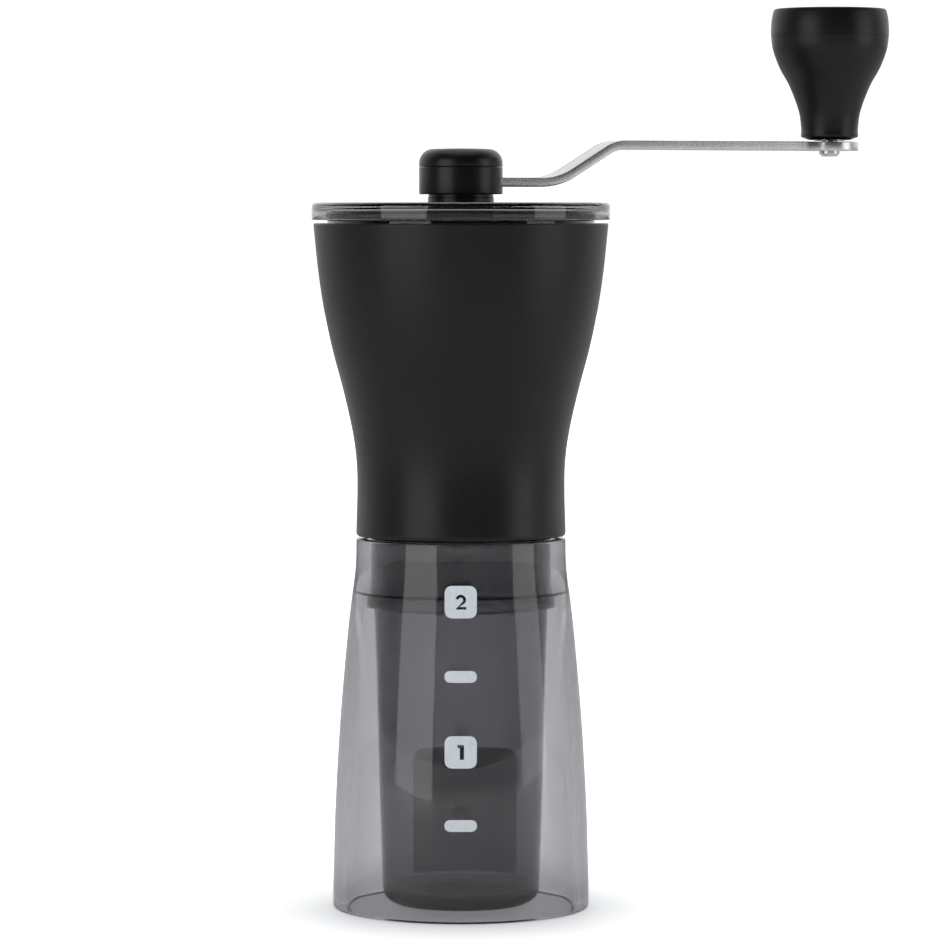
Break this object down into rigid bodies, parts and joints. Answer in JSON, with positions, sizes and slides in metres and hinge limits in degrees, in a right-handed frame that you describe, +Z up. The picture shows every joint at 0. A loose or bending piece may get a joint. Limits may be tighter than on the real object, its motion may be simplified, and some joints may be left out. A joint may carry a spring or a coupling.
{
  "type": "hand crank coffee grinder",
  "caption": "Slim hand coffee mill: smoke container, waisted black body with hopper and ceramic burrs, smoke lid, and a lift-off steel crank with a flared knob.",
  "frame": {"origin": "on the mill's axis, in the plane that the container's rim stands on", "axes": "+Z up along the mill's axis, +X along the crank arm at rest, +Y to complete the right-handed set; the container's front faces 113 degrees clockwise from +X, seen from above"},
  "size_m": [0.1508, 0.0722, 0.2192],
  "materials": {
    "smoke_plastic": "clear smoke-tinted moulding, polished",
    "lid_plastic": "clear smoke-tinted moulding, polished",
    "label_film": "blank dark sticker",
    "body_plastic": "fine matte grain",
    "hub_plastic": "fine matte grain, slightly sheeny",
    "knob_plastic": "fine matte grain",
    "inner_plastic": "plain moulded",
    "burr_ceramic": "fired, unglazed",
    "shaft_steel": "turned",
    "arm_steel": "satin, with a grainy blanked edge"
  },
  "bodies": {
    "container": {"container_skirt": "smoke_plastic", "grounds_cup": "smoke_plastic", "rear_label": "label_film"},
    "mill_body": {"body_shell": "body_plastic", "hopper": "smoke_plastic", "shaft_bridge": "inner_plastic", "shaft_bush": "inner_plastic", "outer_burr": "burr_ceramic", "burr_retainer": "inner_plastic"},
    "lid": {"hopper_lid": "lid_plastic"},
    "spindle": {"drive_shaft": "shaft_steel", "shaft_clip": "shaft_steel", "upper_washer": "shaft_steel"},
    "burr_rotor": {"inner_burr": "burr_ceramic", "burr_carrier": "inner_plastic", "lower_washer": "shaft_steel", "burr_spring": "shaft_steel"},
    "nut_wheel": {"adjusting_nut": "inner_plastic"},
    "crank": {"crank_arm": "arm_steel", "hub_collar": "hub_plastic", "hub_cap": "hub_plastic", "lid_keeper": "inner_plastic", "knob_pin": "arm_steel"},
    "knob": {"crank_knob": "knob_plastic", "knob_cap": "knob_plastic", "knob_bush": "inner_plastic", "knob_washer": "arm_steel"}
  },
  "joints": [
    {"name": "mill_lift", "type": "slide", "parent": "container", "child": "mill_body", "axis": [0, 0, 1], "range_m": [0, 0.04]},
    {"name": "crank_turn", "type": "hinge", "parent": "mill_body", "child": "spindle", "pos_m": [0, 0, 0.15], "axis": [0, 0, 1], "continuous": true},
    {"name": "crank_lift", "type": "slide", "parent": "spindle", "child": "crank", "axis": [0, 0, 1], "range_m": [0, 0.03]},
    {"name": "lid_lift", "type": "slide", "parent": "mill_body", "child": "lid", "axis": [0, 0, 1], "range_m": [0, 0.03]},
    {"name": "knob_spin", "type": "hinge", "parent": "crank", "child": "knob", "pos_m": [0.1, 0, 0.2], "axis": [0, 0, 1], "continuous": true},
    {"name": "burr_gap", "type": "slide", "parent": "spindle", "child": "burr_rotor", "axis": [0, 0, 1], "range_m": [-0.0015, 0], "deforming": ["burr_spring"]},
    {"name": "nut_turn", "type": "hinge", "parent": "burr_rotor", "child": "nut_wheel", "pos_m": [0, 0, 0.09], "axis": [0, 0, 1], "range_deg": [-540, 0]}
  ],
  "couplings": [
    {"joint": "lid_lift", "follows": "crank_lift", "ratio": 1},
    {"joint": "nut_turn", "follows": "burr_gap", "rad_per_m": 6283}
  ]
}
